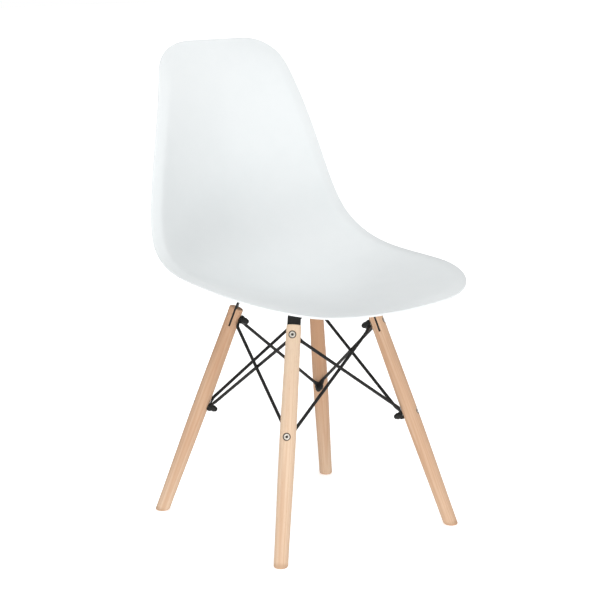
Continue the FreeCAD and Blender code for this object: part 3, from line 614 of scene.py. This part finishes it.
def leg_directions(angle):
    """Unit vectors of a leg: sideways, up its own axis, and outward across it."""
    turn = math.radians(angle)
    out = np.array([math.cos(turn), math.sin(turn), 0])
    side = np.array([-math.sin(turn), math.cos(turn), 0])
    up = np.array([0, 0, 1.0])
    axis = up * math.cos(LEG_LEAN) - out * math.sin(LEG_LEAN)
    across = out * math.cos(LEG_LEAN) + up * math.sin(LEG_LEAN)
    return out, side, axis, across


def leg_radius(height):
    """Turned radius: smooth steps from the foot to the belly and from the belly to the top."""
    belly = LEG_LENGTH - LOWER_JOINT
    low = np.clip(height / belly, 0, 1)
    high = np.clip((LEG_LENGTH - height) / LOWER_JOINT, 0, 1)
    share = np.where(height < belly, low, high)
    end = np.where(height < belly, FOOT_RADIUS, TOP_RADIUS)
    return end + (BELLY_RADIUS - end) * share**2 * (3 - 2 * share)


def leg_points():
    """The leg upright with +X outward: rings whose lower ends shear to the slanted foot cut."""
    around = np.linspace(0, 2 * math.pi, LEG_COLUMNS + 1)[:-1]
    turn = np.linspace(0, math.pi / 2, ROUND_STEPS)
    foot_heights = FOOT_ROUND * (1 - np.cos(turn))
    foot_insets = FOOT_ROUND * (1 - np.sin(turn))
    body = np.linspace(FOOT_ROUND, LEG_LENGTH - TOP_ROUND, LEG_RINGS)[1:-1]
    top_heights = LEG_LENGTH - TOP_ROUND * (1 - np.sin(turn))
    top_insets = TOP_ROUND * (1 - np.cos(turn))
    heights = np.concatenate([foot_heights, body, top_heights])
    insets = np.concatenate([foot_insets, np.zeros(body.shape), top_insets])
    radius = leg_radius(heights) - insets
    heights = np.concatenate([[0.0, 0.0], heights, [LEG_LENGTH] * 2])
    radius = np.concatenate([END_RINGS, radius, END_RINGS[::-1]])
    x = radius[:, None] * np.cos(around)
    fade = np.clip(1 - heights[:, None] / LEG_LENGTH, 0, 1)
    z = heights[:, None] - x * math.tan(LEG_LEAN) * fade
    return np.stack([x, radius[:, None] * np.sin(around), z], -1)


def cutter(points):
    """A closed helper solid for one cut, as an object."""
    shape = Shape().grid(points)
    mesh = bpy.data.meshes.new("cutter")
    mesh.from_pydata(np.concatenate(shape.points).tolist(), [], shape.faces)
    helper = bpy.data.objects.new("cutter", mesh)
    bpy.context.scene.collection.objects.link(helper)
    return helper


def plain_bore(radius, low, high, height):
    """A round bar along X between two distances, at a height up the leg."""
    bar = turned([(radius, low), (radius, high)])
    return np.stack([bar[..., 2], bar[..., 0], bar[..., 1] + height], -1)


def saw_slot():
    """A flat bar as wide as the saw slot, from its floor past the top of the leg."""
    reach = TOP_RADIUS * 1.5
    half = SLOT_WIDTH / 2
    square = np.array([[half, reach], [-half, reach], [-half, -reach], [half, -reach]])
    levels = (LEG_LENGTH - SLOT_DEPTH, LEG_LENGTH + SLOT_DEPTH)
    return np.stack([np.concatenate([square, np.full((4, 1), level)], 1) for level in levels])


def cut_leg_mesh():
    """The upright leg with its slot, cross holes and counterbores cut."""
    cuts = [saw_slot()]
    for joint in (UPPER_JOINT, LOWER_JOINT):
        height = LEG_LENGTH - joint
        outer = float(leg_radius(np.array(height)))
        cuts.append(plain_bore(CROSS_HOLE, -3 * TOP_RADIUS, outer, height))
        cuts.append(plain_bore(COUNTERBORE, outer - HEAD_SINK - HEAD_HEIGHT, 3 * TOP_RADIUS, height))
    body = cutter(leg_points())
    for cut in cuts:
        helper = cutter(cut)
        modifier = body.modifiers.new("cut", "BOOLEAN")
        modifier.operation, modifier.solver, modifier.object = "DIFFERENCE", "EXACT", helper
    bpy.context.view_layer.update()
    mesh = bpy.data.meshes.new_from_object(body.evaluated_get(bpy.context.evaluated_depsgraph_get()))
    for helper in [modifier.object for modifier in body.modifiers] + [body]:
        bpy.data.objects.remove(helper)
    return mesh


def lacquered_beech():
    """Beech along the leg: growth rings round a distant pith, long fine streaks, short ray flecks, painted
    shade set per leg at its top and foot, a darker foot end, and painted shade with some end-grain scorch
    in the counterbores.
    """
    material, shader, _ = new_finish("lacquered_beech", {"IOR": 1.5, "Specular IOR Level": 0.12})
    place = attribute(material.node_tree, "grain_place", "Vector")
    leg_place = attribute(material.node_tree, "leg_place", "Vector")

    def stretched(across, along):
        """The place scaled so that noise over it is drawn out along the leg."""
        settings = {"vector_type": "POINT"}
        return place.add("ShaderNodeMapping", settings, {"Vector": place, "Scale": (across, across, along)})

    local = leg_place.add("ShaderNodeSeparateXYZ", {}, {0: leg_place})
    aside, height = (Value(local.socket.node.outputs[index]) for index in (1, 2))
    wander = place.noise(1.0, 2.0, 0.5, stretched(16.0, 2.2))
    broad = place.noise(1.0, 3.0, 0.55, stretched(70.0, 4.0))
    streaks = place.noise(1.0, 4.0, 0.65, stretched(420.0, 9.0))
    fibres = place.noise(1.0, 2.0, 0.6, stretched(1500.0, 26.0))
    flecks = place.noise(1.0, 1.0, 0.5, stretched(900.0, 150.0)).between(0.62, 0.74)
    split = place.add("ShaderNodeSeparateXYZ", {}, {0: place})
    side = Value(split.socket.node.outputs[1])
    pith = ((split + PITH_ASIDE) ** 2.0 + (side + PITH_BEHIND) ** 2.0) ** 0.5
    # Painted shade, partly also end-grain scorch: within a counterbore's radius of each bolt's line, the
    # counterbore walls and the wood round the holes are painted nearly black.
    bore_shade_and_scorch = 0.0
    for depth in (UPPER_JOINT, LOWER_JOINT):
        from_axis = (aside**2.0 + (height - (LEG_LENGTH - depth) * MM) ** 2.0) ** 0.5
        bore_shade_and_scorch = bore_shade_and_scorch + from_axis.between((COUNTERBORE + 0.5) * MM, COUNTERBORE * MM)
    ring = place.add("ShaderNodeMath", {"operation": "SINE"}, {0: (pith + wander * 0.006) * RING_RATE})
    late = (ring * 0.5 + 0.5).between(0.55, 1.0)
    board = place.noise(1.0, 1.0, 0.5, stretched(1.7, 1.3))
    # Painted shade per leg, read from the mesh and set by each leg's top and foot values.
    painted_leg_shade = attribute(material.node_tree, "painted_shade_tone")
    figure = board * 0.25 + broad * 0.36 + streaks * 0.3 + late * 0.12
    grain_and_painted_shade = (figure + painted_leg_shade).between(0.3, 1.1)
    wood = grain_and_painted_shade.blend((0.715, 0.55, 0.405, 1), (0.50, 0.29, 0.175, 1))
    flecked = (flecks * 0.28).blend(wood, (0.50, 0.29, 0.17, 1))
    fibred = (fibres.between(0.35, 0.8) * 0.22).blend(flecked, (0.56, 0.36, 0.225, 1))
    # Darker towards the bottom: the lowest 9 mm of each leg blend up to halfway into a dark brown.
    wood_darker_at_foot = (height.between(0.009, 0.001) * 0.5).blend(fibred, (0.40, 0.25, 0.155, 1))
    feed(shader, {
        # Painted shade with some end-grain scorch in and round the counterbores, laid over the wood.
        "Base Color": (bore_shade_and_scorch * 0.9).blend(wood_darker_at_foot, (0.10, 0.06, 0.035, 1)),
        "Roughness": 0.52 + 0.14 * fibres + 0.05 * late,
        "Normal": (fibres * 0.6 + streaks * 0.4 - flecks * 0.3).bump(0.00008, 0.6),
    })
    return material


beech = lacquered_beech()
cut_mesh = cut_leg_mesh()
upright = np.empty(len(cut_mesh.vertices) * 3)
cut_mesh.vertices.foreach_get("co", upright)
upright = upright.reshape(-1, 3)
for number, (leg_name, leg_angle) in enumerate(LEG_ANGLES.items()):
    out, side, axis, across = leg_directions(leg_angle)
    local_turn = GRAIN_TURN * number
    grain_x = upright[:, 0] * math.cos(local_turn) - upright[:, 1] * math.sin(local_turn)
    grain_y = upright[:, 0] * math.sin(local_turn) + upright[:, 1] * math.cos(local_turn)
    leg_mesh = cut_mesh.copy()
    leg_mesh.name = f"turned_leg_{leg_name}"
    place = BASE_CENTRE + out * FOOT_REACH + upright @ np.stack([across, side, axis])
    leg_mesh.vertices.foreach_set("co", (place * MM).ravel())
    grain = leg_mesh.attributes.new("grain_place", "FLOAT_VECTOR", "POINT")
    shifted = np.stack([grain_x, grain_y, upright[:, 2] + GRAIN_SHIFT * number], -1) * MM
    grain.data.foreach_set("vector", shifted.ravel())
    local_place = leg_mesh.attributes.new("leg_place", "FLOAT_VECTOR", "POINT")
    local_place.data.foreach_set("vector", (upright * MM).ravel())
    # Painted shade on each leg, blended from its foot's value to its top's.
    painted_leg_shade = leg_mesh.attributes.new("painted_shade_tone", "FLOAT", "POINT")
    top_shade, foot_shade = LEG_PAINTED_SHADE[leg_name]
    painted_leg_shade.data.foreach_set("value", np.interp(upright[:, 2], (0.0, LEG_LENGTH), (foot_shade, top_shade)))
    leg_mesh.materials.clear()
    leg_mesh.materials.append(beech)
    leg_mesh.update()
    leg_mesh.shade_smooth()
    leg_mesh.set_sharp_from_angle(angle=math.radians(32.0))
    leg = bpy.data.objects.new(f"turned_leg_{leg_name}", leg_mesh)
    bpy.context.scene.collection.objects.link(leg)
    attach(leg, "root")
    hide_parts(f"leg_{leg_name}")


# ================================================================ wire struts
# Eight rods of 5.6 mm black coated steel. Each runs from the upper joint of one leg to the lower joint
# of the next; both ends are pressed flat into eyelets that the leg bolts pass through, two to a bolt.

WIRE_RADIUS = 2.8
EYELET_RADIUS, EYELET_THICKNESS, EYELET_EDGE = 7.5, 2.4, 0.7
EYELET_GAP, NECK_START, NECK_HALF_WIDTH = 0.3, 6.4, 3.8
KNUCKLE_REACH, WIRE_START = 18.0, 4.4
FLAT_RUN, ROUNDING_RUN, FLAT_SPREAD, FLAT_POWER = 1.5, 13.0, 0.7, 0.55
NECK_BEND, KNUCKLE_BEND, BEND_STEPS = 7.0, 9.0, 8
WIRE_STATIONS, WIRE_POINTS = 60, 33
# A strut's place on the bolt, counted from the leg, and its knuckle's shift along the bolt.
LAYERS = {"outer": (0, -0.2), "inner": (1, -5.8)}
SIDES = {"rear": "rear_left", "right": "rear_right", "front": "front_right", "left": "front_left"}


def joint(angle, depth):
    """Point on a leg's axis a way down from its top, its radius there, and the bolt's direction."""
    out, _, axis, across = leg_directions(angle)
    height = LEG_LENGTH - depth
    point = BASE_CENTRE + out * FOOT_REACH + axis * height
    return point, float(leg_radius(np.array(height))), across


def eyelet_frame(angle, depth, layer):
    """Middle of an eyelet on the bolt's line inside the leg, and the bolt's direction."""
    point, radius, across = joint(angle, depth)
    away = radius + EYELET_GAP + (layer + 0.5) * EYELET_THICKNESS
    return point - across * away, across


def strut_shape(top_angle, foot_angle, layer, offset):
    """Both eyelets as rounded rings, and between them the wire: its section goes from flat at the
    eyelets to round past the bends, carried along a path with an arc at each bend."""
    ends = [eyelet_frame(top_angle, UPPER_JOINT, layer), eyelet_frame(foot_angle, LOWER_JOINT, layer)]
    run = ends[1][0] - ends[0][0]
    corners, widths, shape = [], [], Shape()
    for (centre, across), toward in zip(ends, (run, -run)):
        along = unit(toward - across * (toward @ across))
        knuckle = centre + along * KNUCKLE_REACH + across * offset
        corners.append([centre + along * WIRE_START, centre + along * NECK_START, knuckle])
        widths.append(np.cross(across, along))
        ring = flat_ring(EYELET_RADIUS, CROSS_HOLE, EYELET_THICKNESS, EYELET_EDGE)
        ring = ring - [0, 0, EYELET_THICKNESS / 2]
        shape.grid(placed(ring, centre, across), start_cap=False, end_cap=False)
    points = np.array(corners[0] + corners[1][::-1])
    path = rounded_path(points, [NECK_BEND, KNUCKLE_BEND, KNUCKLE_BEND, NECK_BEND], BEND_STEPS)
    lengths = np.concatenate([[0.0], np.cumsum(np.linalg.norm(np.diff(path, axis=0), axis=1))])
    extra = np.linspace(0, lengths[-1], WIRE_STATIONS)
    stations = np.unique(np.concatenate([lengths, extra]))
    path = np.stack([np.interp(stations, lengths, path[:, axis]) for axis in range(3)], -1)
    from_end = np.minimum(stations, lengths[-1] - stations)
    share = np.clip((from_end - FLAT_RUN) / ROUNDING_RUN, 0, 1)
    roundness = share**2 * (3 - 2 * share)
    half_flat = NECK_HALF_WIDTH + FLAT_SPREAD
    half_width = half_flat + (WIRE_RADIUS - half_flat) * roundness
    half_thick = EYELET_THICKNESS / 2 + (WIRE_RADIUS - EYELET_THICKNESS / 2) * roundness
    direction = tangents(path)
    if widths[0] @ widths[1] < 0:
        widths[1] = -widths[1]
    way = (stations / stations[-1])[:, None]
    way = way**2 * (3 - 2 * way)
    width = (1 - way) * widths[0] + way * widths[1]
    width = unit(width - direction * (width * direction).sum(1, keepdims=True))
    thick = np.cross(direction, width)
    around = np.linspace(0, 2 * math.pi, WIRE_POINTS)[:-1]
    power = (FLAT_POWER + (1 - FLAT_POWER) * roundness)[:, None]
    cosine = np.sign(np.cos(around)) * np.abs(np.cos(around)) ** power
    sine = np.sign(np.sin(around)) * np.abs(np.sin(around)) ** power
    rings = (path[:, None] + (half_width[:, None] * cosine)[..., None] * width[:, None]
             + (half_thick[:, None] * sine)[..., None] * thick[:, None])
    return shape.grid(rings)


for side_name, leg_name in SIDES.items():
    this_angle = LEG_ANGLES[leg_name]
    next_angle = this_angle + 90.0
    for layer_name, (layer, offset) in LAYERS.items():
        top_angle, foot_angle = (
            (this_angle, next_angle) if layer_name == "outer" else (next_angle, this_angle)
        )
        strut_shape(top_angle, foot_angle, layer, offset).make(
            f"wire_{side_name}_{layer_name}", black_coat, "black_steel",
            f"strut_{side_name}_{layer_name}",
        )


# ================================================================ leg bolts and dome nuts
# A bright nickel-plated socket bolt goes through each joint from the outer face, its head sunk in the
# counterbore; a black flanged dome nut clamps both eyelets on the inner face.

BOLT_RADIUS, BOLT_HEAD, BOLT_PAST_LEG = 3.0, 5.2, 13.0
NUT_FLANGE, NUT_FLANGE_THICKNESS, NUT_WIDTH, NUT_HEX, NUT_DOME = 6.6, 1.4, 10.0, 5.6, 4.7
NUT_BORE, DOME_TURN = 9.2, 9


def dome_nut():
    """Flange, hexagon and dome as one run of rings about +Z, from the blind bore round to the top."""
    block = hexagon(NUT_WIDTH)
    top = NUT_FLANGE_THICKNESS + NUT_HEX
    rounded = np.minimum(block, NUT_WIDTH / 2 * 1.07)
    rows = [(0.1, NUT_BORE), (CROSS_HOLE, NUT_BORE), (CROSS_HOLE, 0.3), (CROSS_HOLE + 0.3, 0.0),
            (NUT_FLANGE - 0.4, 0.0), (NUT_FLANGE - 0.1, 0.15), (NUT_FLANGE, 0.5), (NUT_FLANGE, 0.9),
            (NUT_FLANGE - 0.3, NUT_FLANGE_THICKNESS), (block, NUT_FLANGE_THICKNESS + 0.15),
            (block, top - 0.9), (rounded, top - 0.35), (NUT_WIDTH / 2 - 0.15, top)]
    for degrees in range(0, 90, DOME_TURN):
        turn = math.radians(degrees)
        rows.append((NUT_DOME * math.cos(turn), top + 0.05 + NUT_DOME * math.sin(turn) * 0.98))
    return turned(rows)


def bright_nickel():
    """Nickel plate: bright and slightly warm on the flats, with painted shade, near black, in the socket
    and round the rim where the head meets its counterbore."""
    material, shader, place = new_finish("bright_nickel", {"Metallic": 1.0})
    haze, marks = place.noise(300.0, 3.0), place.noise(5200.0, 2.0, 0.7)
    # The mesh's mark is painted shade here: near black in the bolts' sockets and round their heads' rims in
    # the counterbores.
    painted_shade_mask = attribute(material.node_tree, "mark")
    plate = haze.between(0.3, 0.7).blend((0.80, 0.75, 0.68, 1), (0.66, 0.61, 0.54, 1))
    feed(shader, {
        "Base Color": (painted_shade_mask * 0.93).blend(plate, (0.035, 0.03, 0.026, 1)),
        "Roughness": 0.27 + 0.14 * haze + 0.06 * marks + 0.2 * painted_shade_mask,
        "Normal": marks.bump(0.00002, 0.4),
    })
    return material


nickel = bright_nickel()
for level, depth in (("upper", UPPER_JOINT), ("lower", LOWER_JOINT)):
    bolts, nuts = Shape(), Shape()
    for leg_angle in LEG_ANGLES.values():
        point, radius, across = joint(leg_angle, depth)
        bolt = socket_screw(BOLT_HEAD, HEAD_HEIGHT, BOLT_RADIUS, 2 * radius - HEAD_SINK + BOLT_PAST_LEG)
        # The bolts carry painted shade ring by ring: near black in the socket and round the head's rim.
        bolts.grid(placed(bolt, point + across * (radius - HEAD_SINK), across), marks=SCREW_PAINTED_SHADE)
        face = radius + EYELET_GAP + 2 * EYELET_THICKNESS
        nuts.grid(placed(dome_nut(), point - across * face, -across))
    bolts.make(f"socket_bolts_{level}", nickel, "nickel_bolt", f"leg_bolts_{level}")
    nuts.make(f"capped_nuts_{level}", black_coat, "black_steel", f"dome_nuts_{level}")


# ================================================================ floor, light and camera
# A wide pale floor, three broad soft lamps, a soft box low in front and a long lens. The sky looks
# plain white but gives off less light than that, so that the white shell stands out from it.

FLOOR_REACH, FLOOR_CELLS = 14.0, 29
FLOOR_TINT, FLOOR_GLOW, SKY_LIGHT = 0.93, 0.47, 0.39
VIEW_AZIMUTH, VIEW_ELEVATION, VIEW_DISTANCE = math.radians(-36.18), math.radians(12.01), 3.2
TARGET_HEIGHT, LIGHT_HEIGHT = 0.4, 0.35
SENSOR_WIDTH, LENS, LENS_SHIFT = 36.0, 112.0, (-0.0083, -0.0098)
floor_line = np.linspace(-FLOOR_REACH, FLOOR_REACH, FLOOR_CELLS)
floor_x, floor_y = np.meshgrid(floor_line, floor_line)
floor_points = np.stack([floor_x, floor_y, np.zeros_like(floor_x)], -1)
floor_mesh = bpy.data.meshes.new("studio_floor")
floor_mesh.from_pydata(
    floor_points.reshape(-1, 3).tolist(), [], grid_faces(FLOOR_CELLS, FLOOR_CELLS, 0, False)
)
floor_mesh.shade_smooth()
studio_floor = bpy.data.objects.new("studio_floor", floor_mesh)
bpy.context.scene.collection.objects.link(studio_floor)
paper, _, _ = new_finish("studio_paper", {
    "Base Color": (FLOOR_TINT, FLOOR_TINT, FLOOR_TINT, 1), "Roughness": 0.9,
    "Specular IOR Level": 0.1, "Emission Color": (1.0, 1.0, 1.0, 1), "Emission Strength": FLOOR_GLOW,
})
floor_mesh.materials.append(paper)

world = bpy.data.worlds.new("studio")
world.use_nodes = True
seen = Value(world.node_tree.nodes.new("ShaderNodeLightPath").outputs["Is Camera Ray"])
sky = seen.blend((SKY_LIGHT, SKY_LIGHT, SKY_LIGHT, 1), (1.0, 1.0, 1.0, 1))
world.node_tree.links.new(sky.socket, world.node_tree.nodes["Background"].inputs["Color"])
bpy.context.scene.world = world


def soft_sun(name, azimuth, elevation, spread, strength):
    """A distant lamp with soft edges, at an azimuth from the chair's front and a height, in degrees."""
    light = bpy.data.lights.new(name, "SUN")
    light.angle, light.energy = math.radians(spread), strength
    lamp = bpy.data.objects.new(name, light)
    turn, rise = math.radians(azimuth), math.radians(elevation)
    toward = Vector((math.sin(turn) * math.cos(rise), -math.cos(turn) * math.cos(rise), math.sin(rise)))
    lamp.location = toward * 3.0
    lamp.rotation_euler = toward.to_track_quat("Z", "Y").to_euler()
    bpy.context.scene.collection.objects.link(lamp)


def soft_box(name, azimuth, distance, height, width, power):
    """A square soft box that faces the chair from an azimuth, a distance and a height in metres."""
    light = bpy.data.lights.new(name, "AREA")
    light.shape, light.size, light.energy = "SQUARE", width, power
    lamp = bpy.data.objects.new(name, light)
    turn = math.radians(azimuth)
    place = Vector((math.sin(turn) * distance, -math.cos(turn) * distance, height))
    lamp.location = place
    lamp.rotation_euler = (place - Vector((0.0, 0.0, LIGHT_HEIGHT))).to_track_quat("Z", "Y").to_euler()
    bpy.context.scene.collection.objects.link(lamp)


soft_sun("key", -34.0, 62.0, 55.0, 1.10)
soft_sun("fill", -22.0, 24.0, 65.0, 0.52)
soft_sun("top", 150.0, 74.0, 50.0, 0.50)
soft_box("front", -37.0, 1.5, 0.15, 0.35, 4.8)

target = BASE_CENTRE * MM + [0.0, 0.0, TARGET_HEIGHT]
back = np.array([math.sin(VIEW_AZIMUTH) * math.cos(VIEW_ELEVATION),
                 -math.cos(VIEW_AZIMUTH) * math.cos(VIEW_ELEVATION), math.sin(VIEW_ELEVATION)])
camera_data = bpy.data.cameras.new("camera")
camera_data.sensor_width, camera_data.lens = SENSOR_WIDTH, LENS
camera_data.shift_x, camera_data.shift_y = LENS_SHIFT
camera = bpy.data.objects.new("camera", camera_data)
camera.location = target + back * VIEW_DISTANCE
camera.rotation_euler = (-Vector(back)).to_track_quat("-Z", "Y").to_euler()
bpy.context.scene.collection.objects.link(camera)
bpy.context.scene.camera = camera
bpy.context.scene.view_settings.view_transform = "Standard"
